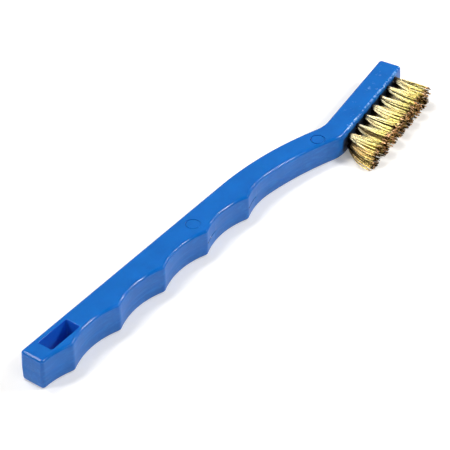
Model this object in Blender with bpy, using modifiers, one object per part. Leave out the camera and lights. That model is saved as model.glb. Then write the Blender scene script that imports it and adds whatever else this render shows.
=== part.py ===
"""Brass-wire scratch brush with a moulded finger-grip handle.

The brush lies on its flat side, in metres, +Z up. The handle runs along +X from its tail, its straight
spine faces +Y, and the finger scallops and the bristles face -Y. The outline is drawn from the corner
where the tail end meets the spine, and the finished brush is then centred over the origin.
"""

import math
import random

import bmesh
import bpy
from mathutils import Matrix, Vector

MM = 0.001
DEG = math.pi / 180

# Grip: rounded finger crests on the -Y side, with a hollow between each two.
CREST_COUNT = 5
TAIL_TO_CREST = 11.25 * MM
CREST_PITCH = 20.61 * MM
CREST_RADIUS = 1.5 * MM
FIRST_CREST_DEPTH = 10.3 * MM
LAST_CREST_DEPTH = 10.5 * MM
SCALLOP_RADIUS = 26.4 * MM
TAIL_THICKNESS = 10.6 * MM

# Neck and head, of one depth: the neck bends away past the last crest, then back into the head.
NECK_DEPTH = 8.0 * MM
NECK_BEND_RADIUS = 119.3 * MM
NECK_BEND_ANGLE = 19.75 * DEG
HEAD_BEND_RADIUS = 12.0 * MM
HEEL_RADIUS = 11.5 * MM
HEAD_TILT = 8.05 * DEG

# Bristle holes: rows side by side across the thickness, columns along the head.
ROW_NAMES = ("low", "mid", "top")
COLUMN_COUNT = 7
COLUMN_PITCH = 5.63 * MM
HOLE_DIAMETER = 1.6 * MM
ROW_WALL = 0.45 * MM
SIDE_WALL = 1.1 * MM
BACK_WALL = 2.5 * MM
HEEL_MARGIN = 1.5 * MM
TOE_MARGIN = 5.4 * MM

# Edges, hang slot and the two ejector-pin marks on the upper side.
EDGE_RADIUS = 0.85 * MM
EDGE_LIMIT = 0.8
SLOT_TO_TAIL = 5.8 * MM
SLOT_TO_SPINE = 2.0 * MM
SLOT_LENGTH = 12.2 * MM
SLOT_WIDTH = 5.0 * MM
SLOT_CORNER_RADIUS = 0.6 * MM
MARK_DIAMETER = 5.0 * MM
MARK_DEPTH = 0.2 * MM
GRIP_MARK_TO_TAIL = 73.0 * MM
GRIP_MARK_TO_SPINE = 5.0 * MM
NECK_MARK_ANGLE = 17.7 * DEG

# Anchors: flat wire that each tuft is folded round, with its ends sunk in the walls of the hole.
ANCHOR_THICKNESS = 0.35 * MM
ANCHOR_HEIGHT = 1.5 * MM
ANCHOR_BITE = 0.35 * MM
FOLD_HEIGHT = 0.9 * MM
FOLD_RADIUS = 0.4 * MM

# Tufts: straight wires that leave the hole as a packed bundle and fan out to the trimmed end.
TRIM_LENGTH = 11.8 * MM
TRIM_VARIATION = 0.3 * MM
WIRE_RADIUS = 0.12 * MM
WIRE_TIP_RADIUS = 0.1 * MM
WIRE_SIDES = 3
WIRE_RINGS = 2
BUNDLE_PITCH = 0.27 * MM
WIRE_EMBED = 0.5 * MM
MOUTH_RECESS = 0.2 * MM
TIP_GAP = 0.7 * MM
TIP_JITTER = 0.1 * MM
SEED = 7

# Fits and mesh fineness.
FIT_CLEARANCE = 0.1 * MM
FLOOR_CLEARANCE = 0.3 * MM
CUT_PAST = 1.0 * MM
ARC_SAG = 0.01 * MM
WELD_DISTANCE = 0.001 * MM
EDGE_SEGMENTS = 3
EDGE_ANGLE = 25 * DEG
HOLE_SIDES = 12
MARK_SIDES = 40
FOLD_SEGMENTS = 2

# Sizes that follow from those above.
ROW_COUNT = len(ROW_NAMES)
ROW_PITCH = HOLE_DIAMETER + ROW_WALL
HEAD_THICKNESS = ROW_COUNT * HOLE_DIAMETER + (ROW_COUNT - 1) * ROW_WALL + 2 * SIDE_WALL
HOLE_DEPTH = NECK_DEPTH - BACK_WALL
FACE_LENGTH = HEEL_MARGIN + (COLUMN_COUNT - 1) * COLUMN_PITCH + TOE_MARGIN
ANCHOR_LENGTH = HOLE_DIAMETER + 2 * ANCHOR_BITE
ROOT_BOTTOM = FLOOR_CLEARANCE - HOLE_DEPTH
ANCHOR_CENTRE = ROOT_BOTTOM + FOLD_HEIGHT + FIT_CLEARANCE + ANCHOR_HEIGHT / 2

HEAD_ALONG = Vector((math.cos(HEAD_TILT), math.sin(HEAD_TILT)))
HEAD_OUT = Vector((math.sin(HEAD_TILT), -math.cos(HEAD_TILT)))


def clear_scene():
    for obj in list(bpy.data.objects):
        bpy.data.objects.remove(obj, do_unlink=True)


def collection(name):
    made = bpy.data.collections.new(name)
    bpy.context.scene.collection.children.link(made)
    return made


def principled(name, colour, roughness, metallic):
    made = bpy.data.materials.new(name)
    made.use_nodes = True
    shader = made.node_tree.nodes["Principled BSDF"]
    shader.inputs["Base Color"].default_value = (*colour, 1.0)
    shader.inputs["Roughness"].default_value = roughness
    shader.inputs["Metallic"].default_value = metallic
    return made


def add_object(name, data, where, parent, material=None):
    """Links an object to a collection, places it under its parent and gives it its material."""
    made = bpy.data.objects.new(name, data)
    where.objects.link(made)
    made.parent = parent
    if material:
        made.data.materials.append(material)
    return made


def add_cutter(name, data, where, parent):
    cutter = add_object(name, data, where, parent)
    cutter.hide_render = True
    cutter.display_type = "WIRE"
    return cutter


def boolean(obj, operation, other):
    modifier = obj.modifiers.new(operation.lower(), "BOOLEAN")
    modifier.operation = operation
    modifier.object = other


def mesh_from(name, bm):
    mesh = bpy.data.meshes.new(name)
    bm.to_mesh(mesh)
    bm.free()
    return mesh


def box_mesh(name, size):
    """A box about the origin."""
    bm = bmesh.new()
    bmesh.ops.create_cube(bm, size=1.0, matrix=Matrix.Diagonal((*size, 1.0)))
    return mesh_from(name, bm)


def cylinder_mesh(name, diameter, bottom, top, sides):
    """A cylinder along Z, from bottom to top."""
    bm = bmesh.new()
    middle = Matrix.Translation((0.0, 0.0, (bottom + top) / 2))
    bmesh.ops.create_cone(
        bm, cap_ends=True, segments=sides, radius1=diameter / 2, radius2=diameter / 2,
        depth=top - bottom, matrix=middle,
    )
    return mesh_from(name, bm)


def circle_point(centre, radius, angle):
    return centre + radius * Vector((math.cos(angle), math.sin(angle)))


def arc(centre, radius, start, end):
    """Points from start up to end, but not end itself.

    A bulging round turns left. A hollow one, whose radius is below 0, turns right.
    """
    turn = math.copysign(1, radius)
    first = math.atan2(start.y - centre.y, start.x - centre.x)
    last = math.atan2(end.y - centre.y, end.x - centre.x)
    swept = (turn * (last - first)) % (2 * math.pi)
    count = max(1, math.ceil(swept / (2 * math.acos(1 - ARC_SAG / abs(radius)))))
    return [circle_point(centre, abs(radius), first + turn * swept * i / count) for i in range(count)]


def touching_centre(first, second, radius, side):
    """The centre of a round that runs into two others, left (1) or right (-1) of the line between those."""
    (a, a_radius), (b, b_radius) = first, second
    near = abs(a_radius - radius)
    far = abs(b_radius - radius)
    apart = (b - a).length
    along = (near**2 - far**2 + apart**2) / (2 * apart)
    aside = math.sqrt(near**2 - along**2)
    unit = (b - a) / apart
    return a + along * unit + side * aside * Vector((-unit.y, unit.x))


def touching_point(first, second):
    """Where one round runs into the next."""
    (a, a_radius), (b, b_radius) = first, second
    return a + (b - a) * a_radius / (a_radius - b_radius)


def crest_round(index):
    """Centre and radius of a crest, counted from the tail. Index -1 lies before the tail end."""
    share = index / (CREST_COUNT - 1)
    depth = FIRST_CREST_DEPTH + (LAST_CREST_DEPTH - FIRST_CREST_DEPTH) * share
    return Vector((TAIL_TO_CREST + index * CREST_PITCH, CREST_RADIUS - depth)), CREST_RADIUS


def bend_centre():
    """Both edges of the neck bend about this point, which lies level with the last crest."""
    return Vector((crest_round(CREST_COUNT - 1)[0].x, -NECK_BEND_RADIUS))


def neck_round():
    """The -Y edge of the neck, which is hollow."""
    return bend_centre(), NECK_DEPTH - NECK_BEND_RADIUS


def head_bend():
    """Centre of the bend into the head, and where it leaves the neck and meets the back of the head."""
    away = Vector((math.sin(NECK_BEND_ANGLE), math.cos(NECK_BEND_ANGLE)))
    start = bend_centre() + NECK_BEND_RADIUS * away
    centre = start + HEAD_BEND_RADIUS * away
    return centre, start, centre + HEAD_BEND_RADIUS * HEAD_OUT


def heel_round():
    """The round that runs from the -Y edge of the neck into the flat bristle face."""
    neck, neck_radius = neck_round()
    inside = head_bend()[2] + (NECK_DEPTH - HEEL_RADIUS) * HEAD_OUT - neck
    along = inside.dot(HEAD_ALONG)
    reach = math.sqrt(along**2 - inside.length_squared + (HEEL_RADIUS - neck_radius) ** 2)
    return neck + inside + (reach - along) * HEAD_ALONG, HEEL_RADIUS


def face_start():
    """Where the heel runs into the flat bristle face."""
    centre, radius = heel_round()
    return centre + radius * HEAD_OUT


def grip_edge():
    """The -Y edge from the tail end to the bristle face: hollows and crests in turn, then neck and heel."""
    run = []
    for index in range(CREST_COUNT):
        crest = crest_round(index)
        hollow = touching_centre(crest_round(index - 1), crest, -SCALLOP_RADIUS, -1)
        run += [(hollow, -SCALLOP_RADIUS), crest]
    last_hollow = touching_centre(crest, neck_round(), -SCALLOP_RADIUS, 1)
    run += [(last_hollow, -SCALLOP_RADIUS), neck_round(), heel_round()]

    first = run[0][0]
    start = Vector((0.0, first.y + math.sqrt(SCALLOP_RADIUS**2 - first.x**2)))
    points = []
    for here, after in zip(run, run[1:] + [None]):
        end = touching_point(here, after) if after else face_start()
        points += arc(*here, start, end)
        start = end
    return points


def outline():
    """The handle seen from above, anticlockwise from the tail end's -Y corner."""
    toe = face_start() + FACE_LENGTH * HEAD_ALONG
    centre, bend_start, bend_end = head_bend()
    spine_end = Vector((bend_centre().x, 0.0))
    return [
        *grip_edge(),
        face_start(),
        toe,
        toe - NECK_DEPTH * HEAD_OUT,
        *arc(centre, -HEAD_BEND_RADIUS, bend_end, bend_start),
        *arc(bend_centre(), NECK_BEND_RADIUS, bend_start, spine_end),
        spine_end,
        Vector((0.0, 0.0)),
    ]


def thickness(x):
    """The handle thins evenly from its tail to its toe."""
    toe = face_start() + FACE_LENGTH * HEAD_ALONG
    return TAIL_THICKNESS + (HEAD_THICKNESS - TAIL_THICKNESS) * x / toe.x


def flat_curve_mesh(name, points, depth):
    """A filled outline of the given depth, with its caps welded and each made one face."""
    curve = bpy.data.curves.new(name, "CURVE")
    curve.dimensions = "2D"
    curve.fill_mode = "BOTH"
    curve.extrude = depth / 2
    spline = curve.splines.new("POLY")
    spline.points.add(len(points) - 1)
    for place, point in zip(spline.points, points):
        place.co = (point.x, point.y, 0.0, 1.0)
    spline.use_cyclic_u = True
    drawn = bpy.data.objects.new(name, curve)
    bpy.context.scene.collection.objects.link(drawn)
    graph = bpy.context.evaluated_depsgraph_get()
    mesh = bpy.data.meshes.new_from_object(drawn.evaluated_get(graph))
    bpy.data.objects.remove(drawn)

    bm = bmesh.new()
    bm.from_mesh(mesh)
    bmesh.ops.remove_doubles(bm, verts=bm.verts, dist=WELD_DISTANCE)
    caps = [face for face in bm.faces if abs(face.normal.z) > face.normal.xy.length]
    inner = [edge for edge in bm.edges if all(face in caps for face in edge.link_faces)]
    bmesh.ops.dissolve_edges(bm, edges=inner)
    bmesh.ops.recalc_face_normals(bm, faces=bm.faces)
    bm.to_mesh(mesh)
    bm.free()
    return mesh


def rounded_rectangle(length, width, radius):
    """Points of a rectangle about the origin, with round corners."""
    corners = ((1, 1), (-1, 1), (-1, -1), (1, -1))
    points = []
    for quarter, (x, y) in enumerate(corners):
        centre = Vector((x * (length / 2 - radius), y * (width / 2 - radius)))
        start = circle_point(centre, radius, quarter * math.pi / 2)
        end = circle_point(centre, radius, (quarter + 1) * math.pi / 2)
        points += [*arc(centre, radius, start, end), end]
    return points


def add_handle(parts, cutters, root, head, material):
    """The moulding: its tapered slab with rounded edges, then the slot, the marks and the tuft holes."""
    mesh = flat_curve_mesh("handle", outline(), TAIL_THICKNESS)
    for vertex in mesh.vertices:
        vertex.co.z = thickness(vertex.co.x) if vertex.co.z > 0 else 0.0
    handle = add_object("handle", mesh, parts, root, material)
    edges = handle.modifiers.new("rounded_edges", "BEVEL")
    edges.width = min(EDGE_RADIUS, CREST_RADIUS * EDGE_LIMIT)
    edges.segments = EDGE_SEGMENTS
    edges.limit_method = "ANGLE"
    edges.angle_limit = EDGE_ANGLE

    slot = flat_curve_mesh(
        "slot_cutter",
        rounded_rectangle(SLOT_LENGTH, SLOT_WIDTH, SLOT_CORNER_RADIUS),
        TAIL_THICKNESS + 2 * CUT_PAST,
    )
    slot_cutter = add_cutter("slot_cutter", slot, cutters, root)
    slot_cutter.location = (
        SLOT_TO_TAIL + SLOT_LENGTH / 2,
        -SLOT_TO_SPINE - SLOT_WIDTH / 2,
        TAIL_THICKNESS / 2,
    )
    boolean(handle, "DIFFERENCE", slot_cutter)

    neck_mark = circle_point(bend_centre(), NECK_BEND_RADIUS - NECK_DEPTH / 2, math.pi / 2 - NECK_MARK_ANGLE)
    grip_mark = Vector((GRIP_MARK_TO_TAIL, -GRIP_MARK_TO_SPINE))
    for name, place in (("grip", grip_mark), ("neck", neck_mark)):
        disc = cylinder_mesh(f"{name}_mark_cutter", MARK_DIAMETER, -MARK_DEPTH, CUT_PAST, MARK_SIDES)
        mark_cutter = add_cutter(f"{name}_mark_cutter", disc, cutters, root)
        mark_cutter.location = (*place, thickness(place.x))
        boolean(handle, "DIFFERENCE", mark_cutter)

    hole = cylinder_mesh("hole_cutter", HOLE_DIAMETER, -HOLE_DEPTH, CUT_PAST, HOLE_SIDES)
    bite = box_mesh(
        "bite_cutter",
        [size + 2 * FIT_CLEARANCE for size in (ANCHOR_LENGTH, ANCHOR_THICKNESS, ANCHOR_HEIGHT)],
    )
    for row, column in hole_grid():
        label = f"{ROW_NAMES[row]}_{column + 1}"
        for kind, data, depth in (("hole", hole, 0.0), ("bite", bite, ANCHOR_CENTRE)):
            cutter = add_cutter(f"{kind}_cutter_{label}", data, cutters, head)
            cutter.location = hole_place(row, column, depth)
            boolean(handle, "DIFFERENCE", cutter)
    smooth(handle)


def hole_grid():
    return [(row, column) for row in range(ROW_COUNT) for column in range(COLUMN_COUNT)]


def hole_place(row, column, depth):
    """A point on a hole's axis in the head's own frame: along the face, up, and out of the face."""
    along = HEEL_MARGIN + column * COLUMN_PITCH
    up = HEAD_THICKNESS / 2 + (row - (ROW_COUNT - 1) / 2) * ROW_PITCH
    return along, up, depth


def bundle_layout():
    """Wire centres in a bundle, as ring upon ring of a hexagon, in steps of one pitch."""
    places = [Vector((0.0, 0.0))]
    for ring in range(1, WIRE_RINGS + 1):
        count = 6 * ring
        places += [circle_point(Vector((0.0, 0.0)), ring, 2 * math.pi * i / count) for i in range(count)]
    return places


def wires_mesh(name, row, draw):
    """The wires of one tuft. Each leaves its place in the bundle for its place in the fan, so none cross."""
    tip_row_pitch = HEAD_THICKNESS / ROW_COUNT
    spread_along = (COLUMN_PITCH - TIP_GAP) / 2 / WIRE_RINGS
    spread_across = (tip_row_pitch - TIP_GAP) / 2 / WIRE_RINGS
    lean = (row - (ROW_COUNT - 1) / 2) * (tip_row_pitch - ROW_PITCH)
    bm = bmesh.new()
    for place in bundle_layout():
        foot = Vector((place.x * BUNDLE_PITCH, place.y * BUNDLE_PITCH, -MOUTH_RECESS - WIRE_EMBED))
        jitter = Vector((draw.uniform(-1, 1), draw.uniform(-1, 1))) * TIP_JITTER
        tip = Vector((
            place.x * spread_along + jitter.x,
            place.y * spread_across + lean + jitter.y,
            TRIM_LENGTH - draw.uniform(0, TRIM_VARIATION),
        ))
        run = tip - foot
        turned = run.to_track_quat("Z", "Y").to_matrix().to_4x4()
        bmesh.ops.create_cone(
            bm, cap_ends=True, segments=WIRE_SIDES, radius1=WIRE_RADIUS, radius2=WIRE_TIP_RADIUS,
            depth=run.length, matrix=Matrix.Translation((foot + tip) / 2) @ turned,
        )
    return mesh_from(name, bm)


def root_mesh(name):
    """The packed bundle inside the hole, rounded where the wires fold under the anchor."""
    bm = bmesh.new()
    diameter = HOLE_DIAMETER - 2 * FIT_CLEARANCE
    middle = Matrix.Translation((0.0, 0.0, (ROOT_BOTTOM - MOUTH_RECESS) / 2))
    bmesh.ops.create_cone(
        bm, cap_ends=True, segments=HOLE_SIDES, radius1=diameter / 2, radius2=diameter / 2,
        depth=-MOUTH_RECESS - ROOT_BOTTOM, matrix=middle,
    )
    bottom = min(bm.faces, key=lambda face: face.calc_center_median().z)
    bmesh.ops.bevel(
        bm, geom=bottom.edges, offset=FOLD_RADIUS, segments=FOLD_SEGMENTS, profile=0.5, affect="EDGES",
    )
    return mesh_from(name, bm)


def add_tufts(parts, cutters, head, wire_material, anchor_material):
    """Each hole gets its tuft, folded round an anchor."""
    window = box_mesh(
        "window_cutter",
        [size + 2 * FIT_CLEARANCE for size in (ANCHOR_LENGTH, ANCHOR_THICKNESS, ANCHOR_HEIGHT)],
    )
    plate = box_mesh("anchor", (ANCHOR_LENGTH, ANCHOR_THICKNESS, ANCHOR_HEIGHT))
    plate.materials.append(anchor_material)
    draw = random.Random(SEED)
    for row, column in hole_grid():
        label = f"{ROW_NAMES[row]}_{column + 1}"
        tuft = add_object(f"tuft_{label}", root_mesh(f"tuft_{label}"), parts, head, wire_material)
        tuft.location = hole_place(row, column, 0.0)
        wires = add_cutter(f"wires_{label}", wires_mesh(f"wires_{label}", row, draw), cutters, head)
        wires.location = tuft.location
        opening = add_cutter(f"window_cutter_{label}", window, cutters, head)
        opening.location = hole_place(row, column, ANCHOR_CENTRE)
        boolean(tuft, "DIFFERENCE", opening)
        boolean(tuft, "UNION", wires)
        anchor = add_object(f"anchor_{label}", plate, parts, head)
        anchor.location = hole_place(row, column, ANCHOR_CENTRE)


def smooth(obj):
    obj.data.shade_smooth()
    obj.data.set_sharp_from_angle(angle=EDGE_ANGLE)


def centre_over_origin(parts, root):
    """Moves the whole brush so that the middle of its footprint is over the origin."""
    graph = bpy.context.evaluated_depsgraph_get()
    corners = []
    for obj in parts.objects:
        seen = obj.evaluated_get(graph)
        corners += [seen.matrix_world @ Vector(corner) for corner in seen.bound_box]
    for axis in (0, 1):
        values = [corner[axis] for corner in corners]
        root.location[axis] -= (min(values) + max(values)) / 2


def main():
    clear_scene()
    parts = collection("brass_wire_brush")
    cutters = collection("cutters")
    root = bpy.data.objects.new("brush", None)
    bpy.context.scene.collection.objects.link(root)
    head = bpy.data.objects.new("head_frame", None)
    bpy.context.scene.collection.objects.link(head)
    head.parent = root
    head.location = (*face_start(), 0.0)
    head.rotation_euler = (math.pi / 2, 0.0, HEAD_TILT)

    blue_plastic = principled("blue_plastic", (0.03, 0.17, 0.60), 0.35, 0.0)
    brass_wire = principled("brass_wire", (0.80, 0.58, 0.22), 0.35, 1.0)
    steel_wire = principled("steel_wire", (0.55, 0.55, 0.57), 0.4, 1.0)
    add_handle(parts, cutters, root, head, blue_plastic)
    add_tufts(parts, cutters, head, brass_wire, steel_wire)
    centre_over_origin(parts, root)


main()
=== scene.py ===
"""Brass-wire scratch brush on a white table, seen as in the photograph."""

import math
import random

import bmesh
import bpy
from mathutils import Matrix, Vector
from mathutils.geometry import delaunay_2d_cdt


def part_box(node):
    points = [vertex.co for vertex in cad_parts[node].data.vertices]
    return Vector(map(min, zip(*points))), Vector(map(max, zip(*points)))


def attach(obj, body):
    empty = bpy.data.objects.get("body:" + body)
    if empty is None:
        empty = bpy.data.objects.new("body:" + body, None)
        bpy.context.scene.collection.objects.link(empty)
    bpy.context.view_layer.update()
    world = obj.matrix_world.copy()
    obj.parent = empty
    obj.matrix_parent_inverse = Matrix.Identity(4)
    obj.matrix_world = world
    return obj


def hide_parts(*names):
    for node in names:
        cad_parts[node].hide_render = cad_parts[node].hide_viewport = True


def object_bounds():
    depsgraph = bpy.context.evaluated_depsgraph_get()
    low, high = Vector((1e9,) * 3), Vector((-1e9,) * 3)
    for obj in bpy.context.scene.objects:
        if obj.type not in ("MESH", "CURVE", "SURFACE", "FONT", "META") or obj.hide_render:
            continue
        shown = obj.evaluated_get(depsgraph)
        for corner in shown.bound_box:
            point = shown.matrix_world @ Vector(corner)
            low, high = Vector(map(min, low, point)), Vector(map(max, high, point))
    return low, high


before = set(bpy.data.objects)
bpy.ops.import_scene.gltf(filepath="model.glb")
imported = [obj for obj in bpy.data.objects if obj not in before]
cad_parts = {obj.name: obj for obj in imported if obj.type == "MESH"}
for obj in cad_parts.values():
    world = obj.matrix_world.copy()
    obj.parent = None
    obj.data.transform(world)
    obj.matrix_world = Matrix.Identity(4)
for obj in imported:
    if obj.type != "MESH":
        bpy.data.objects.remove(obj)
cad_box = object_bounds()

MM = 0.001
DEG = math.pi / 180
TURN = 2 * math.pi

# Outline of the handle, as in the solid that this piece stands for.
CREST_COUNT = 5
TAIL_TO_CREST = 11.25 * MM
CREST_PITCH = 20.61 * MM
CREST_RADIUS = 1.5 * MM
FIRST_CREST_DEPTH = 10.3 * MM
LAST_CREST_DEPTH = 10.5 * MM
SCALLOP_RADIUS = 26.4 * MM
TAIL_THICKNESS = 10.6 * MM
HEAD_THICKNESS = 7.9 * MM
NECK_DEPTH = 8.0 * MM
NECK_BEND_RADIUS = 119.3 * MM
NECK_BEND_ANGLE = 19.75 * DEG
HEAD_BEND_RADIUS = 12.0 * MM
HEEL_RADIUS = 11.5 * MM
HEAD_TILT = 8.05 * DEG
CORNER_RADIUS = 1.2 * MM

# Longest steps along the outline: in corners, in other rounds and on straight or nearly straight runs.
CORNER_STEP = 0.2 * MM
ROUND_STEP = 0.4 * MM
STRAIGHT_STEP = 1.0 * MM
LARGEST_TURN = 6 * DEG

# Tuft holes.
ROW_NAMES = ("low", "mid", "top")
COLUMN_COUNT = 7
COLUMN_PITCH = 5.63 * MM
ROW_PITCH = 2.05 * MM
HOLE_RADIUS = 0.8 * MM
HOLE_DEPTH = 5.5 * MM
HOLE_SIDES = 24
CUT_PAST = 1.0 * MM
HEEL_MARGIN = 1.5 * MM
TOE_MARGIN = 5.4 * MM
FACE_LENGTH = HEEL_MARGIN + (COLUMN_COUNT - 1) * COLUMN_PITCH + TOE_MARGIN

# Slot and ejector marks. A mark's groove has the first share of its depth at mid-ring and gains the second to +Y.
SLOT_CENTRE = Vector((11.9, -4.5)) * MM
SLOT_LENGTH = 12.2 * MM
SLOT_WIDTH = 5.0 * MM
SLOT_CORNER_RADIUS = 0.6 * MM
SLOT_CORNER_STEPS = 8
SLOT_EDGE_RADIUS = 0.25 * MM
SLOT_EDGE_STEPS = 4
MARK_RADIUS = 2.4 * MM
MARK_GROOVE = 0.4 * MM
MARK_SIDES = 56
MARK_DEPTH_SHARES = (0.65, 0.35)
GRIP_MARK = Vector((73.0, -5.0)) * MM
GRIP_MARK_DEPTH = 0.22 * MM
NECK_MARK_ANGLE = 18.33 * DEG
NECK_MARK_INSET = 5.1 * MM
NECK_MARK_DEPTH = 0.5 * MM

# Section of the handle: rounded edges, drafted halves and a fine parting line, which is open on two flanks where the
# outline faces far enough toward the toe.
TOP_EDGE_RADIUS = 1.0 * MM
TOP_EDGE_STEPS = 9
TOP_RIM = 0.05 * MM
LOW_EDGE_RADIUS = 0.9 * MM
LOW_EDGE_STEPS = 4
LOW_RIM = 0.15 * MM
DRAFT = 0.12 * MM
PARTING_HALF = 0.16 * MM
PARTING_DEPTH = 0.02 * MM
FLANK_DEPTH = 1.6 * MM
FLANK_FACING = 0.12
FLANK_START = 72.0 * MM
FLANK_END = 103.0 * MM
HANDLE_SHARP = 32 * DEG

# Bristles. A spread is a standard deviation in mm; a pair is along the face and up.
TRIM_LENGTH = 11.8 * MM
TRIM_GAIN = 0.6 * MM
LENGTH_SPREAD = 0.3
ROOT_DEPTH = 1.5 * MM
TABLE_GAP = 0.15 * MM
HOLE_GAP = 0.02 * MM
WIRE_RADIUS = 0.11 * MM
WIRE_SIDES = 5
WIRE_SHARP = 80 * DEG
WIRES_PER_TUFT = 56
WIRE_SPREAD = (0.1, 0.08)
BOW_SPREAD = (0.12, 0.09)
CLUMPS = 18
CLUMP_PULL = 0.6
GOLDEN_ANGLE = 137.508
FAN_ALONG = 2.5
FAN_UP = 1.2
FAN_SPREAD = (0.2, 0.15)
FAN_POWER = 2.4
LEAN_POWER = 2.2
LEAN_SPREAD = (0.25, 0.1)
SEED = 11

# Places along a wire, as shares of its length. The first is for the end inside the hole.
SHARES = (0.0, 0.0, 0.06, 0.13, 0.22, 0.35, 0.5, 0.7, 0.88, 0.95, 1.0)

# Lean of the tufts at their tips in mm: along the face for each column and row, and up for each row.
LEAN_ALONG = (
    (-3.4, -2.8, -1.6),
    (-2.2, -2.0, -1.5),
    (-1.7, -1.6, -1.5),
    (-1.6, -1.6, -1.5),
    (-1.6, -1.6, -1.5),
    (-1.6, -1.6, -1.5),
    (-1.6, -1.6, -1.4),
)
LEAN_UP = (-0.75, -0.45, -0.25)

# Stray wires of the low tuft at the heel.
STRAY_SHARE = 0.4
STRAY_MEAN = (-0.6, -0.5)
STRAY_SPREAD = (0.8, 0.5)

# Looks of the wires. A tone is mixed from the clump's and the wire's own, then mapped to a least tone and a span.
CLUMP_TONE = 0.6
OWN_TONE = 0.4
LEAST_TONE = 0.55
TONE_SPAN = 0.45
# Painted shade: duller tones for the low and middle tufts at the heel.
HEEL_PAINTED_SHADE_TONES = (0.3, 0.1)
HEEL_PAINTED_SHADE_SPAN = 0.5

# Painted shade on a wire, darker by its place in the tuft, in some clumps and in each row, and a painted shadow at its
# root.
PAINTED_SHADE_REACH = 0.6
CLUMP_PAINTED_SHADE = 0.7
PAINTED_SHADE_CLUMP_SHARE = 0.13
ROW_PAINTED_SHADE = (0.0, 0.2, 0.0)
ROOT_PAINTED_SHADOW = 0.9

# Share of a wire's length over which the painted shadow at its root clears, for each row.
HEEL_CLEAR = (0.15, 0.4, 0.12)
CLEAR = (0.4, 0.5, 0.12)
TOE_CLEAR = (0.4, 0.5, 0.2)

HEAD_ALONG = Vector((math.cos(HEAD_TILT), math.sin(HEAD_TILT)))
HEAD_OUT = Vector((math.sin(HEAD_TILT), -math.cos(HEAD_TILT)))

# The tail's corner at the spine, on the table, and how far the wires may come forward within the solids' box.
low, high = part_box("handle")
ORIGIN = Vector((low.x, high.y, 0.0))
FRONT = cad_box[0][1] + WIRE_RADIUS


# Outline ------------------------------------------------------------------------------------------

def touching_centre(first, second, radius, side):
    """The centre of a round that runs into two others, left (1) or right (-1) of the line between those."""
    (a, a_radius), (b, b_radius) = first, second
    near = abs(a_radius - radius)
    far = abs(b_radius - radius)
    apart = (b - a).length
    along = (near**2 - far**2 + apart**2) / (2 * apart)
    aside = math.sqrt(near**2 - along**2)
    unit = (b - a) / apart
    return a + along * unit + side * aside * Vector((-unit.y, unit.x))


def touching_point(first, second):
    """The point where two rounds run into each other."""
    (a, a_radius), (b, b_radius) = first, second
    return a + (b - a) * a_radius / (a_radius - b_radius)


def crest(index):
    """Centre and radius of a crest, counted from the tail."""
    share = index / (CREST_COUNT - 1)
    depth = FIRST_CREST_DEPTH + (LAST_CREST_DEPTH - FIRST_CREST_DEPTH) * share
    return Vector((TAIL_TO_CREST + index * CREST_PITCH, CREST_RADIUS - depth)), CREST_RADIUS


BEND_CENTRE = Vector((TAIL_TO_CREST + (CREST_COUNT - 1) * CREST_PITCH, -NECK_BEND_RADIUS))
NECK = (BEND_CENTRE, NECK_DEPTH - NECK_BEND_RADIUS)
AWAY = Vector((math.sin(NECK_BEND_ANGLE), math.cos(NECK_BEND_ANGLE)))
BEND_START = BEND_CENTRE + NECK_BEND_RADIUS * AWAY
HEAD_CENTRE = BEND_START + HEAD_BEND_RADIUS * AWAY
BEND_END = HEAD_CENTRE + HEAD_BEND_RADIUS * HEAD_OUT


def heel():
    """Centre and radius of the round between the neck and the bristle face."""
    inside = BEND_END + (NECK_DEPTH - HEEL_RADIUS) * HEAD_OUT - BEND_CENTRE
    along = inside.dot(HEAD_ALONG)
    reach = math.sqrt(along**2 - inside.length_squared + (HEEL_RADIUS - NECK[1]) ** 2)
    return BEND_CENTRE + inside + (reach - along) * HEAD_ALONG, HEEL_RADIUS


FACE_START = heel()[0] + HEEL_RADIUS * HEAD_OUT
TOE = FACE_START + FACE_LENGTH * HEAD_ALONG
TOE_BACK = TOE - NECK_DEPTH * HEAD_OUT


def thickness(x):
    return TAIL_THICKNESS + (HEAD_THICKNESS - TAIL_THICKNESS) * x / TOE.x


def arc(centre, radius, start, end, step):
    """Points and outward normals along a round, without its end. A radius below 0 is a hollow."""
    turn = math.copysign(1, radius)
    first = math.atan2(start.y - centre.y, start.x - centre.x)
    last = math.atan2(end.y - centre.y, end.x - centre.x)
    swept = (turn * (last - first)) % TURN
    count = max(2, math.ceil(swept * abs(radius) / step), math.ceil(swept / LARGEST_TURN))
    made = []
    for i in range(count):
        angle = first + turn * swept * i / count
        ray = Vector((math.cos(angle), math.sin(angle)))
        made.append((centre + abs(radius) * ray, turn * ray))
    return made


def line(start, end):
    """Points and outward normals along a straight run, without its end."""
    run = end - start
    normal = Vector((run.y, -run.x)).normalized()
    count = max(1, math.ceil(run.length / STRAIGHT_STEP))
    return [(start + run * i / count, normal) for i in range(count)]


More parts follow.
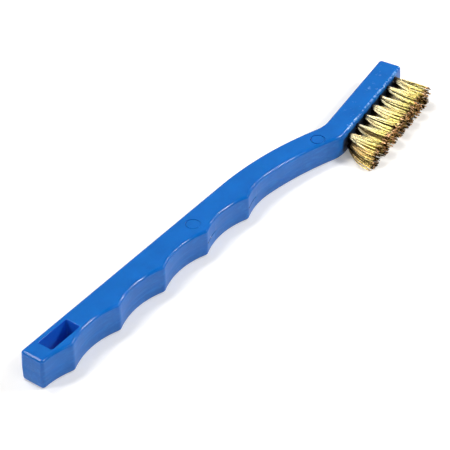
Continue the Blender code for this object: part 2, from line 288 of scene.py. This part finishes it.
def outline():
    """The handle's edge, anticlockwise from the tail's -Y corner: points with outward normals."""
    r = CORNER_RADIUS
    rounds = []
    for index in range(CREST_COUNT):
        here = crest(index)
        hollow = touching_centre(crest(index - 1), here, -SCALLOP_RADIUS, -1)
        rounds += [(hollow, -SCALLOP_RADIUS), here]
    rounds.append((touching_centre(crest(CREST_COUNT - 1), NECK, -SCALLOP_RADIUS, 1), -SCALLOP_RADIUS))
    rounds += [NECK, heel()]

    hollow = rounds[0][0]
    corner = Vector((r, hollow.y + math.sqrt((SCALLOP_RADIUS + r) ** 2 - (r - hollow.x) ** 2)))
    tail_low = (corner, r)
    run = []
    start = Vector((0.0, corner.y))
    for here, after in zip([tail_low] + rounds, rounds + [None]):
        end = touching_point(here, after) if after else FACE_START
        run += arc(*here, start, end, ROUND_STEP)
        start = end

    face_end = TOE - r * HEAD_ALONG
    run += line(FACE_START, face_end)
    run += arc(face_end - r * HEAD_OUT, r, face_end, TOE - r * HEAD_OUT, CORNER_STEP)
    back_turn = TOE_BACK + r * HEAD_OUT
    run += line(TOE - r * HEAD_OUT, back_turn)
    back_start = TOE_BACK - r * HEAD_ALONG
    run += arc(back_turn - r * HEAD_ALONG, r, back_turn, back_start, CORNER_STEP)
    run += line(back_start, BEND_END)
    run += arc(HEAD_CENTRE, -HEAD_BEND_RADIUS, BEND_END, BEND_START, ROUND_STEP)
    spine_end = Vector((BEND_CENTRE.x, 0.0))
    run += arc(BEND_CENTRE, NECK_BEND_RADIUS, BEND_START, spine_end, STRAIGHT_STEP)
    run += line(spine_end, Vector((r, 0.0)))
    run += arc(Vector((r, -r)), r, Vector((r, 0.0)), Vector((0.0, -r)), CORNER_STEP)
    run += line(Vector((0.0, -r)), Vector((0.0, corner.y)))
    return run


def quarter_turn(steps):
    """Sine and cosine at even steps from 0 to a quarter turn."""
    angles = [i / steps * math.pi / 2 for i in range(steps + 1)]
    return [(math.sin(angle), math.cos(angle)) for angle in angles]


def section():
    """Rings from the underside to the top: (inset, rise, share of the thickness that the rise starts from)."""
    rings = [(LOW_EDGE_RADIUS + DRAFT + LOW_RIM, 0.0, 0.0)]
    for sine, cosine in quarter_turn(LOW_EDGE_STEPS):
        rings.append((DRAFT + LOW_EDGE_RADIUS * (1 - sine), LOW_EDGE_RADIUS * (1 - cosine), 0.0))
    rings.append((0.0, -PARTING_HALF, 0.5))
    rings.append((PARTING_DEPTH, 0.0, 0.5))
    rings.append((0.0, PARTING_HALF, 0.5))
    for sine, cosine in quarter_turn(TOP_EDGE_STEPS):
        rings.append((DRAFT + TOP_EDGE_RADIUS * (1 - cosine), TOP_EDGE_RADIUS * (sine - 1), 1.0))
    rings.append((TOP_EDGE_RADIUS + DRAFT + TOP_RIM, 0.0, 1.0))
    return rings


def slot_section():
    """The same for the slot's wall, with the slot's growth in place of the inset."""
    lower = [
        (SLOT_EDGE_RADIUS * (1 - sine), SLOT_EDGE_RADIUS * (1 - cosine), 0.0)
        for sine, cosine in quarter_turn(SLOT_EDGE_STEPS)
    ]
    return lower + [(grow, -rise, 1.0) for grow, rise, _ in reversed(lower)]


def rounded_slot(grow):
    """The slot's edge, anticlockwise, grown by the given amount."""
    r = SLOT_CORNER_RADIUS + grow
    half_x = SLOT_LENGTH / 2 + grow - r
    half_y = SLOT_WIDTH / 2 + grow - r
    points = []
    for quarter, (x, y) in enumerate(((1, 1), (-1, 1), (-1, -1), (1, -1))):
        for i in range(SLOT_CORNER_STEPS + 1):
            angle = (quarter + i / SLOT_CORNER_STEPS) * math.pi / 2
            ray = Vector((math.cos(angle), math.sin(angle)))
            points.append(SLOT_CENTRE + Vector((x * half_x, y * half_y)) + r * ray)
    return points


# Mesh helpers -------------------------------------------------------------------------------------

def add_ring(bm, points, height):
    """A closed row of vertices: plan points at the height that the function gives for each."""
    return [bm.verts.new((p.x + ORIGIN.x, p.y + ORIGIN.y, height(p))) for p in points]


def ring_height(rise, share):
    """The height function of a ring of a section."""
    return lambda p: rise + share * thickness(p.x)


def bridge(bm, lower, upper):
    """Four-sided faces between two closed rows of as many vertices."""
    count = len(lower)
    for i in range(count):
        k = (i + 1) % count
        bm.faces.new((lower[i], lower[k], upper[k], upper[i]))


def fill_cap(bm, outer, inner):
    """Triangles between an outer row of vertices and an inner one."""
    verts = outer + inner
    edges = []
    for first, ring in ((0, outer), (len(outer), inner)):
        edges += [(first + i, first + (i + 1) % len(ring)) for i in range(len(ring))]
    inside_only, tolerance = 1, 1e-7
    made = delaunay_2d_cdt([v.co.to_2d() for v in verts], edges, [], inside_only, tolerance)
    triangles, sources = made[2], made[3]
    for triangle in triangles:
        corners = [sources[i][0] for i in triangle]
        if min(corners) < len(outer):
            bm.faces.new([verts[i] for i in corners])


def new_piece(name, bm_or_mesh, material):
    mesh = bm_or_mesh
    if isinstance(bm_or_mesh, bmesh.types.BMesh):
        mesh = bpy.data.meshes.new(name)
        bm_or_mesh.to_mesh(mesh)
        bm_or_mesh.free()
    made = bpy.data.objects.new(name, mesh)
    bpy.context.scene.collection.objects.link(made)
    made.data.materials.append(material)
    return made


def head_point(along, up, out):
    """A point given along the bristle face, up from the table and out of the face."""
    plan = FACE_START + along * HEAD_ALONG + out * HEAD_OUT
    return Vector((plan.x + ORIGIN.x, plan.y + ORIGIN.y, up))


def hole_place(row, column):
    """Where a hole's middle lies, along the face and up."""
    along = HEEL_MARGIN + column * COLUMN_PITCH
    up = HEAD_THICKNESS / 2 + (row - 1) * ROW_PITCH
    return along, up


# Handle -------------------------------------------------------------------------------------------

def flank_groove(point, normal):
    """Depth of the parting line where it is open: on the toe-ward flanks of the two hollows by the neck."""
    if normal.y > 0 or not FLANK_START < point.x < FLANK_END:
        return 0.0
    return FLANK_DEPTH * max(0.0, normal.x - FLANK_FACING)


def handle_mesh():
    """The handle with its slot, before the holes and the marks are cut."""
    bm = bmesh.new()
    edge = outline()
    rings = []
    for inset, rise, share in section():
        points = [point - normal * inset for point, normal in edge]
        if inset == PARTING_DEPTH:
            points = [p - flank_groove(point, normal) * normal for p, (point, normal) in zip(points, edge)]
        rings.append(add_ring(bm, points, ring_height(rise, share)))
    for lower, upper in zip(rings, rings[1:]):
        bridge(bm, lower, upper)

    slot_rings = [
        add_ring(bm, rounded_slot(grow), ring_height(rise, share)) for grow, rise, share in slot_section()
    ]
    for lower, upper in zip(slot_rings, slot_rings[1:]):
        bridge(bm, upper, lower)

    fill_cap(bm, rings[0], slot_rings[0])
    fill_cap(bm, rings[-1], slot_rings[-1])
    bmesh.ops.recalc_face_normals(bm, faces=bm.faces)
    return bm


def add_groove(bm, centre, depth):
    """A ring-shaped cutter for an ejector mark. It goes deepest on the ring's +Y side."""
    middle, gain = MARK_DEPTH_SHARES

    def top(p):
        return thickness(p.x) + CUT_PAST

    def bottom(p):
        return thickness(p.x) + -depth * (middle + gain * (p.y - centre.y) / MARK_RADIUS)

    inner = MARK_RADIUS - MARK_GROOVE
    rings = []
    for reach, height in ((MARK_RADIUS, bottom), (MARK_RADIUS, top), (inner, top), (inner, bottom)):
        circle = []
        for i in range(MARK_SIDES):
            angle = i / MARK_SIDES * TURN
            circle.append(centre + reach * Vector((math.cos(angle), math.sin(angle))))
        rings.append(add_ring(bm, circle, height))
    for lower, upper in zip(rings, rings[1:] + rings[:1]):
        bridge(bm, lower, upper)


def drill_mesh():
    """All tuft holes and the grooves round the ejector marks, as one set of cutters."""
    bm = bmesh.new()
    turn = Matrix((
        (HEAD_ALONG.x, 0.0, HEAD_OUT.x, 0.0),
        (HEAD_ALONG.y, 0.0, HEAD_OUT.y, 0.0),
        (0.0, 1.0, 0.0, 0.0),
        (0.0, 0.0, 0.0, 1.0),
    ))
    for row in range(len(ROW_NAMES)):
        for column in range(COLUMN_COUNT):
            along, up = hole_place(row, column)
            middle = head_point(along, up, (CUT_PAST - HOLE_DEPTH) / 2)
            bmesh.ops.create_cone(
                bm, cap_ends=True, segments=HOLE_SIDES, radius1=HOLE_RADIUS, radius2=HOLE_RADIUS,
                depth=HOLE_DEPTH + CUT_PAST, matrix=Matrix.Translation(middle) @ turn,
            )
    neck_ray = Vector((math.sin(NECK_MARK_ANGLE), math.cos(NECK_MARK_ANGLE)))
    add_groove(bm, GRIP_MARK, GRIP_MARK_DEPTH)
    add_groove(bm, BEND_CENTRE + (NECK_BEND_RADIUS - NECK_MARK_INSET) * neck_ray, NECK_MARK_DEPTH)
    bmesh.ops.recalc_face_normals(bm, faces=bm.faces)
    return bm


def make_handle(material):
    handle = new_piece("grip_and_head", handle_mesh(), material)
    drill = new_piece("drill", drill_mesh(), material)
    cut = handle.modifiers.new("holes", "BOOLEAN")
    cut.operation = "DIFFERENCE"
    cut.solver = "EXACT"
    cut.object = drill
    graph = bpy.context.evaluated_depsgraph_get()
    mesh = bpy.data.meshes.new_from_object(handle.evaluated_get(graph))
    handle.modifiers.clear()
    handle.data = mesh
    bpy.data.objects.remove(drill)
    mesh.shade_smooth()
    mesh.set_sharp_from_angle(angle=HANDLE_SHARP)
    return handle


# Bristles -----------------------------------------------------------------------------------------

def spiral_places(count, reach):
    """Places that fill a round evenly."""
    places = []
    for i in range(count):
        radius = reach * math.sqrt((i + 0.5) / count)
        angle = i * GOLDEN_ANGLE * DEG
        places.append(Vector((radius * math.cos(angle), radius * math.sin(angle))))
    return places


def scatter(draw, spread, mean=(0, 0)):
    """A random offset along the face and up. The spread and the mean are in mm."""
    return Vector((draw.gauss(mean[0], spread[0]), draw.gauss(mean[1], spread[1]))) * MM


def wire_path(place, fan, lean, row, column, draw):
    """Points along one wire, in head coordinates (along, up, out)."""
    along, up = hole_place(row, column)
    trim = TRIM_LENGTH + TRIM_GAIN * column / (COLUMN_COUNT - 1)
    length = trim - abs(draw.gauss(0, LENGTH_SPREAD)) * MM
    bow = scatter(draw, BOW_SPREAD)
    points = [Vector((along + place.x, up + place.y, out)) for out in (-ROOT_DEPTH, 0.0)]
    for share in SHARES[2:]:
        opened = 1 - (1 - share) ** FAN_POWER
        bent = 1 - (1 - share) ** LEAN_POWER
        off = place + fan * opened + lean * bent + bow * math.sin(share * math.pi)
        points.append(Vector((along + off.x, max(up + off.y, TABLE_GAP), share * length)))
    return points


def add_wire(verts, faces, path, twist):
    """A tube along the path, closed at both ends, put into lists of vertices and faces."""
    first = len(verts)
    last = first + (len(path) - 1) * WIRE_SIDES
    for i, point in enumerate(path):
        ahead = (path[min(i + 1, len(path) - 1)] - path[max(i - 1, 0)]).normalized()
        side = ahead.cross(Vector((0, 0, 1))).normalized()
        over = side.cross(ahead)
        for k in range(WIRE_SIDES):
            angle = twist + k / WIRE_SIDES * TURN
            verts.append(point + WIRE_RADIUS * (math.cos(angle) * side + math.sin(angle) * over))
    for a in range(first, last, WIRE_SIDES):
        b = a + WIRE_SIDES
        for k in range(WIRE_SIDES):
            n = (k + 1) % WIRE_SIDES
            faces.append((a + k, a + n, b + n, b + k))
    faces.append(tuple(range(last, last + WIRE_SIDES)))
    faces.append(tuple(reversed(range(first, first + WIRE_SIDES))))


def wire_tone(row, column, mixed):
    """A wire's tone, from dull (0) to bright (1). The low and middle tufts at the heel are duller, as painted shade."""
    if column == 0 and row < len(HEEL_PAINTED_SHADE_TONES):
        return HEEL_PAINTED_SHADE_TONES[row] + HEEL_PAINTED_SHADE_SPAN * mixed
    return LEAST_TONE + TONE_SPAN * mixed


def root_clear(row, column):
    return {0: HEEL_CLEAR, COLUMN_COUNT - 1: TOE_CLEAR}.get(column, CLEAR)[row]


def make_tuft(row, column, material, draw):
    """One tuft: wires that go by clumps and fan out of their hole. Each point has tone, share of length and painted
    shade.
    """
    verts = []
    faces = []
    looks = []
    strays = random.Random(SEED + 1)
    lean = Vector((LEAN_ALONG[column][row], LEAN_UP[row])) * MM
    lean += scatter(draw, LEAN_SPREAD)
    turn = Matrix.Rotation(draw.uniform(0, TURN), 2)
    reach = HOLE_RADIUS - WIRE_RADIUS - HOLE_GAP
    clumps = [turn @ place for place in spiral_places(CLUMPS, reach)]
    fans = [
        Vector((
            clump.x * FAN_ALONG + draw.gauss(0, FAN_SPREAD[0]) * MM,
            clump.y * FAN_UP + draw.gauss(0, FAN_SPREAD[1]) * MM,
        ))
        for clump in clumps
    ]
    shades = [draw.random() for _ in clumps]
    dark = [CLUMP_PAINTED_SHADE if draw.random() < PAINTED_SHADE_CLUMP_SHARE else 0.0 for _ in clumps]
    clear = root_clear(row, column)
    for place in spiral_places(WIRES_PER_TUFT, reach):
        nearest = min(range(CLUMPS), key=lambda i: (clumps[i] - place).length)
        pull = (clumps[nearest] - place) * CLUMP_PULL
        fan = fans[nearest] + pull + scatter(draw, WIRE_SPREAD)
        if column == 0 and row == 0 and strays.random() < STRAY_SHARE:
            fan += scatter(strays, STRAY_SPREAD, STRAY_MEAN)
        path = [head_point(*p) for p in wire_path(place, fan, lean, row, column, draw)]
        path = [Vector((p.x, max(p.y, FRONT), p.z)) for p in path]
        tone = wire_tone(row, column, CLUMP_TONE * shades[nearest] + OWN_TONE * draw.random())
        inner = 1 - place.length / (PAINTED_SHADE_REACH * reach)
        # Painted shade: inner wires, some clumps and the middle row are darkened.
        painted_shade = max(inner, dark[nearest], ROW_PAINTED_SHADE[row])
        add_wire(verts, faces, path, draw.uniform(0, TURN))
        # The painted shadow at the root fades out along the wire.
        for share in SHARES:
            looks += [(tone, share, max(painted_shade, ROOT_PAINTED_SHADOW - share / clear))] * WIRE_SIDES
    mesh = bpy.data.meshes.new(f"bristles_{ROW_NAMES[row]}_{column + 1}")
    mesh.from_pydata(verts, [], faces)
    attribute = mesh.attributes.new("wire", "FLOAT_VECTOR", "POINT")
    for item, look in zip(attribute.data, looks):
        item.vector = look
    bm = bmesh.new()
    bm.from_mesh(mesh)
    bmesh.ops.recalc_face_normals(bm, faces=bm.faces)
    bm.to_mesh(mesh)
    bm.free()
    mesh.shade_smooth()
    mesh.set_sharp_from_angle(angle=WIRE_SHARP)
    return new_piece(mesh.name, mesh, material)


# Materials ----------------------------------------------------------------------------------------

def rgb(r, g, b):
    return (r, g, b, 1.0)


BLUE_LOW = rgb(0.0004, 0.116, 0.445)
BLUE_HIGH = rgb(0.0010, 0.143, 0.53)
BLUE_SPOT = rgb(0.16, 0.42, 0.80)
# Painted highlight along the head's rim.
BLUE_PAINTED_RIM_HIGHLIGHT = rgb(0.30, 0.56, 0.92)
BLUE_STREAK = rgb(0.02, 0.24, 0.66)
# Painted light on the slot's walls.
BLUE_SLOT_PAINTED_LIGHT = rgb(0.0004, 0.11, 0.57)
# Painted shade in the open parting line.
FLANK_PAINTED_SHADE = rgb(0.0, 0.012, 0.08)
# Painted shade on the bristle face.
FACE_PAINTED_SHADE = rgb(0.012, 0.014, 0.018)
# Painted highlight near the wires' roots.
BRASS_PAINTED_HIGHLIGHT = rgb(1.0, 0.98, 0.70)
BRASS_YELLOW = rgb(0.98, 0.92, 0.32)
BRASS_DULL = rgb(0.86, 0.52, 0.15)
BRASS_TARNISH = rgb(0.50, 0.28, 0.07)
# Painted shade inside and between the tufts.
BRASS_PAINTED_SHADE = rgb(0.055, 0.030, 0.010)
# Painted shadow at the wires' roots.
BRASS_ROOT_PAINTED_SHADE = rgb(0.05, 0.04, 0.035)
BRASS_EDGE = rgb(1.0, 0.88, 0.5)
# Painted shade among the cut ends.
CUT_PAINTED_SHADE = rgb(0.020, 0.003, 0.001)
CUT_BRIGHT = rgb(1.0, 0.62, 0.34)
STEEL_LOW = rgb(0.42, 0.42, 0.44)
STEEL_HIGH = rgb(0.62, 0.62, 0.63)
TABLE_LOW = rgb(0.92, 0.90, 0.87)
TABLE_HIGH = rgb(0.94, 0.92, 0.89)
WHITE = rgb(1.0, 1.0, 1.0)

# How far the noise of drawn or rubbed surfaces is squeezed: little along the handle, much across it.
SCUFF_SCALE = (60, 1300, 1300)
STEEL_SCALE = (300, 6000, 6000)

# The painted highlight along the head's rim lies this far in from the bristle face.
RIM_TO_FACE = 0.55 * MM
SLOT_SKIN = 0.1 * MM


class Nodes:
    """A small helper to lay out a material's nodes."""

    def __init__(self, name):
        self.material = bpy.data.materials.new(name)
        self.material.use_nodes = True
        self.tree = self.material.node_tree
        self.shader = self.tree.nodes["Principled BSDF"]
        self.place = self.add("ShaderNodeTexCoord").outputs["Object"]

    def add(self, kind, inputs=None, **settings):
        node = self.tree.nodes.new(kind)
        for key, value in settings.items():
            setattr(node, key, value)
        for key, value in (inputs or {}).items():
            self.feed(node.inputs[key], value)
        return node

    def feed(self, socket, value):
        if isinstance(value, bpy.types.NodeSocket):
            self.tree.links.new(value, socket)
        else:
            socket.default_value = value

    def surface(self, inputs):
        """Set the shader's own sockets."""
        for key, value in inputs.items():
            self.feed(self.shader.inputs[key], value)

    def math(self, operation, a, b=0.0):
        return self.add("ShaderNodeMath", {0: a, 1: b}, operation=operation).outputs[0]

    def product(self, first, *others):
        for other in others:
            first = self.math("MULTIPLY", first, other)
        return first

    def away(self, value, middle):
        """Distance of a value from a middle."""
        return self.math("ABSOLUTE", self.math("SUBTRACT", value, middle))

    def offset(self, point):
        """The place on the piece, counted from a point."""
        return self.add("ShaderNodeVectorMath", {0: self.place, 1: point}, operation="SUBTRACT").outputs[0]

    def axes(self, vector):
        return self.add("ShaderNodeSeparateXYZ", {"Vector": vector}).outputs[:]

    def squeezed(self, scale):
        return self.add("ShaderNodeMapping", {"Vector": self.place, "Scale": scale}).outputs[0]

    def noise(self, vector, scale, detail=2.0, roughness=0.5):
        return self.add(
            "ShaderNodeTexNoise", {"Vector": vector, "Scale": scale, "Detail": detail, "Roughness": roughness}
        ).outputs["Fac"]

    def ramp(self, value, low, high, to_low=0.0, to_high=1.0):
        return self.add(
            "ShaderNodeMapRange",
            {"Value": value, "From Min": low, "From Max": high, "To Min": to_low, "To Max": to_high},
        ).outputs["Result"]

    def band(self, value, start, full, hold, end):
        """1 from full to hold, and less to 0 at start and end."""
        return self.product(self.ramp(value, start, full), self.ramp(value, end, hold))

    def mix(self, factor, a, b):
        return self.add("ShaderNodeMix", {"Factor": factor, "A": a, "B": b}, data_type="RGBA").outputs["Result"]


def slot_mask(n):
    """1 on the slot's walls."""
    from_middle = n.offset(ORIGIN + SLOT_CENTRE.to_3d())
    reach = n.axes(n.add("ShaderNodeVectorMath", {0: from_middle}, operation="ABSOLUTE").outputs[0])
    return n.product(
        n.math("LESS_THAN", reach[0], SLOT_LENGTH / 2 + SLOT_SKIN),
        n.math("LESS_THAN", reach[1], SLOT_WIDTH / 2 + SLOT_SKIN),
    )


def flank_mask(n, facing):
    """1 on the parting line where it is open."""
    x, _, z = n.axes(n.place)
    slope = (HEAD_THICKNESS - TAIL_THICKNESS) / TOE.x / 2
    parting = n.math("ADD", n.product(x, slope), TAIL_THICKNESS / 2 - slope * ORIGIN.x)
    flank = n.product(n.ramp(facing[0], 0.1, 0.2), n.ramp(facing[1], 0.0, -0.1))
    first, last = ORIGIN.x + FLANK_START, ORIGIN.x + FLANK_END
    reached = n.band(x, first - MM, first, last, last + MM)
    return n.product(flank, reached, n.ramp(n.away(z, parting), 0.3 * MM, 0.15 * MM))


def plastic():
    """Moulded blue plastic: glossy top and duller streaked sides. Painted light on it: a pale painted highlight along
    the head's rim, brighter slot walls, and painted shade in the open parting line and on the bristle face.
    """
    n = Nodes("blue_plastic_look")
    place = n.place
    facing = n.axes(n.add("ShaderNodeNewGeometry").outputs["Normal"])
    turned = n.add(
        "ShaderNodeVectorRotate",
        {"Vector": n.offset(head_point(0, 0, 0)), "Angle": -HEAD_TILT},
        rotation_type="Z_AXIS",
    )
    along, across, height = n.axes(turned.outputs[0])
    cloud = n.noise(place, 130.0, 4.0, 0.65)
    spots = n.noise(place, 420.0, 3.0, 0.6)
    scuffs = n.noise(n.squeezed(SCUFF_SCALE), 1.0, 3.0)

    on_head = n.product(n.ramp(along, 0.0, 2.0 * MM), n.ramp(across, 7.5 * MM, 4.0 * MM))
    on_side = n.ramp(n.math("ABSOLUTE", facing[2]), 0.6, 0.3)
    in_slot = slot_mask(n)
    pale = n.product(n.ramp(spots, 0.60, 0.72), on_head)
    rim = n.product(n.ramp(n.away(across, RIM_TO_FACE), 0.4 * MM, 0.1 * MM), n.ramp(facing[2], 0.4, 0.6))
    # Painted highlight: a pale, broken line along the head's rounded rim.
    painted_rim_highlight = n.product(rim, on_head, n.ramp(n.noise(place, 900.0, 2.0), 0.42, 0.62))
    streaks = n.product(n.ramp(scuffs, 0.5, 0.68), on_side)
    # Painted shade: the bristle face between the rows of tufts is darkened, unevenly.
    face = n.band(across, -1.2 * MM, -0.4 * MM, 0.15 * MM, 0.35 * MM)
    rows = n.band(height, 0.7 * MM, 1.4 * MM, 6.2 * MM, 6.9 * MM)
    painted_face_shade = n.product(face, rows, n.ramp(along, 37.5 * MM, 35.5 * MM))

    colour = n.mix(n.ramp(cloud, 0.3, 0.7), BLUE_LOW, BLUE_HIGH)
    colour = n.mix(n.product(pale, 0.45), colour, BLUE_SPOT)
    colour = n.mix(n.product(painted_rim_highlight, 0.75), colour, BLUE_PAINTED_RIM_HIGHLIGHT)
    colour = n.mix(n.product(streaks, 0.35), colour, BLUE_STREAK)
    # Painted light: the slot's walls get a brighter, bluer colour.
    colour = n.mix(in_slot, colour, BLUE_SLOT_PAINTED_LIGHT)
    # Painted shade: the open parting line on the flanks is darkened.
    colour = n.mix(n.product(flank_mask(n, facing), 0.9), colour, FLANK_PAINTED_SHADE)
    colour = n.mix(n.product(painted_face_shade, n.ramp(spots, 0.3, 0.6, 0.8, 1.0)), colour, FACE_PAINTED_SHADE)

    shine = n.ramp(scuffs, 0.3, 0.7, 0.1, 0.16)
    dull = n.math("MAXIMUM", n.product(in_slot, 0.6), n.product(on_side, 0.42))
    skin = n.math("ADD", n.noise(place, 1400.0, 2.0), n.product(n.noise(place, 160.0, 2.0), 2.0))
    lumps = n.product(n.noise(place, 700.0, 1.0), n.product(on_head, 5.0))
    relief = n.math("ADD", skin, lumps)
    bump = n.add("ShaderNodeBump", {"Height": relief, "Strength": 0.12, "Distance": 0.04 * MM})
    n.surface({
        "Base Color": colour,
        "Roughness": n.math("MAXIMUM", shine, dull),
        "Normal": bump.outputs[0],
        "Subsurface Weight": 0.3,
        "Subsurface Radius": (0.05, 0.5, 1.0),
        "Subsurface Scale": 3.0 * MM,
        "IOR": 1.5,
        "Specular IOR Level": 0.4,
    })
    return n.material


def brass():
    """Drawn brass wire: each wire has its own tone, and patchy tarnish that grows with the painted shade. Inner wires,
    some clumps, the middle row and the roots are darkened as painted shade, the roots carry a pale painted highlight,
    and the cut ends are mottled with painted shade.
    """
    n = Nodes("brass_wire_look")
    wire = n.add("ShaderNodeAttribute", attribute_name="wire")
    tone, end, painted_shade = n.axes(wire.outputs["Vector"])
    # Painted highlight: paler near the roots, yellower toward the tips.
    bright = n.mix(n.ramp(end, 0.15, 0.8), BRASS_PAINTED_HIGHLIGHT, BRASS_YELLOW)
    colour = n.mix(tone, BRASS_DULL, bright)
    tarnish = n.ramp(n.noise(n.place, 900.0, 2.0), 0.5, 0.7)
    colour = n.mix(n.product(tarnish, n.ramp(painted_shade, 0.0, 0.5, 0.3, 0.9)), colour, BRASS_TARNISH)
    # Painted shade inside and between the tufts.
    colour = n.mix(n.ramp(painted_shade, 0.1, 0.6, 0.0, 0.95), colour, BRASS_PAINTED_SHADE)
    # Painted shadow at the roots.
    colour = n.mix(n.ramp(end, 0.11, 0.05), colour, BRASS_ROOT_PAINTED_SHADE)
    # The cut ends are mottled with near-black painted shade and a bright tan.
    grain = n.math("ADD", n.noise(n.place, 950.0, 1.0), n.product(tone, 0.3))
    cut = n.mix(n.ramp(grain, 0.72, 0.78), CUT_PAINTED_SHADE, CUT_BRIGHT)
    colour = n.mix(n.ramp(end, 0.86, 0.94, 0.0, 0.96), colour, cut)
    n.surface({
        "Base Color": colour,
        "Metallic": 1.0,
        "Specular Tint": BRASS_EDGE,
        "Roughness": n.ramp(n.noise(n.place, 2500.0, 2.0), 0.3, 0.7, 0.24, 0.38),
    })
    return n.material


def steel():
    """Flat wire of the anchors, drawn lengthwise."""
    n = Nodes("steel_wire_look")
    lines = n.noise(n.squeezed(STEEL_SCALE), 1.0, 2.0)
    n.surface({
        "Base Color": n.mix(lines, STEEL_LOW, STEEL_HIGH),
        "Metallic": 1.0,
        "Roughness": n.ramp(lines, 0.3, 0.7, 0.3, 0.45),
    })
    return n.material


def table():
    """White table top. Where it is looked at, or mirrored, it glows, more with the distance, up to a white backdrop."""
    n = Nodes("white_table")
    rays = n.add("ShaderNodeLightPath").outputs
    mirrored = n.math("MAXIMUM", rays["Is Glossy Ray"], rays["Is Transmission Ray"])
    seen = n.math("MAXIMUM", rays["Is Camera Ray"], mirrored)
    far = n.add("ShaderNodeVectorMath", {0: n.place}, operation="LENGTH").outputs["Value"]
    n.surface({
        "Base Color": n.mix(n.noise(n.place, 30.0, 2.0), TABLE_LOW, TABLE_HIGH),
        "Roughness": 0.7,
        "Emission Color": WHITE,
        "Emission Strength": n.product(seen, n.ramp(far, 0.25, 0.8, 0.17, 1.0)),
    })
    return n.material


# Pieces -------------------------------------------------------------------------------------------

handle = make_handle(plastic())
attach(handle, "root")
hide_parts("handle")

wire_look = brass()
draw = random.Random(SEED)
for row, row_name in enumerate(ROW_NAMES):
    for column in range(COLUMN_COUNT):
        tuft = make_tuft(row, column, wire_look, draw)
        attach(tuft, "root")
        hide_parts(f"tuft_{row_name}_{column + 1}")

anchor_look = steel()
for name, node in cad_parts.items():
    if name.startswith("anchor"):
        node.data.materials.clear()
        node.data.materials.append(anchor_look)

# Table, camera and lights -------------------------------------------------------------------------

TABLE_HALF = 6.0
bm = bmesh.new()
bmesh.ops.create_grid(bm, x_segments=4, y_segments=4, size=TABLE_HALF)
floor = new_piece("table_top", bm, table())

# The camera was fitted to the outline in the photograph. Its focal length is in the photograph's pixels, and it aims at
# a point counted from the tail's corner, half a pixel off so that the middles of pixels match.
AZIMUTH = -53.536 * DEG
ELEVATION = 40.0 * DEG
FOCAL_PIXELS = 2200
IMAGE_PIXELS = 450
PIXEL = MM / 3.305
SENSOR_WIDTH = 36.0
AIM = Vector((87.391, -6.416, 0.0)) * MM
BACK = Vector((
    math.sin(AZIMUTH) * math.cos(ELEVATION),
    -math.cos(AZIMUTH) * math.cos(ELEVATION),
    math.sin(ELEVATION),
))
RIGHT = Vector((math.cos(AZIMUTH), math.sin(AZIMUTH), 0.0))
UP = BACK.cross(RIGHT)
TARGET = ORIGIN + AIM - 0.5 * PIXEL * RIGHT + 0.5 * PIXEL * UP

camera = bpy.data.objects.new("camera", bpy.data.cameras.new("camera"))
bpy.context.scene.collection.objects.link(camera)
camera.data.sensor_width = SENSOR_WIDTH
camera.data.lens = SENSOR_WIDTH * FOCAL_PIXELS / IMAGE_PIXELS
camera.data.clip_start = 0.01
camera.data.clip_end = 20.0
camera.location = TARGET + BACK * (FOCAL_PIXELS * PIXEL)
camera.rotation_euler = Matrix((RIGHT, UP, BACK)).transposed().to_euler()
bpy.context.scene.camera = camera

PLAN_AWAY = Vector((-BACK.x, -BACK.y, 0.0)).normalized()

# Lights round the brush: angle from straight behind it, clockwise seen from above, then height angle, distance,
# width, height and power.
LIGHTS = (
    ("key", 303, 63, 1.5, 0.6, 0.6, 10.5),
    ("left", 252, 45, 1.6, 0.3, 0.3, 7.5),
    ("front_left", 212, 20, 1.6, 1.1, 1.1, 4.0),
    ("front_right", 135, 45, 1.6, 0.9, 0.9, 4.0),
    ("glint", 79, 39, 1.2, 0.44, 0.1, 8.0),
    ("rim", 54, 36, 1.2, 0.12, 0.1, 1.6),
    ("back", 0, 45, 1.6, 1.1, 1.1, 0.8),
)
for name, turn, rise, distance, width, height, power in LIGHTS:
    lamp = bpy.data.lights.new(name, "AREA")
    lamp.shape = "ELLIPSE"
    lamp.size = width
    lamp.size_y = height
    lamp.energy = power
    light = bpy.data.objects.new(name, lamp)
    bpy.context.scene.collection.objects.link(light)
    light.visible_camera = False
    level = math.sin(turn * DEG) * RIGHT + math.cos(turn * DEG) * PLAN_AWAY
    light.location = distance * (math.cos(rise * DEG) * level + Vector((0, 0, math.sin(rise * DEG))))
    light.rotation_euler = (-light.location).to_track_quat("-Z", "Y").to_euler()

world = bpy.data.worlds.new("studio")
world.use_nodes = True
background = world.node_tree.nodes["Background"]
background.inputs["Color"].default_value = (0.97, 0.98, 1.0, 1.0)
background.inputs["Strength"].default_value = 0.06
bpy.context.scene.world = world
bpy.context.scene.view_settings.view_transform = "Standard"
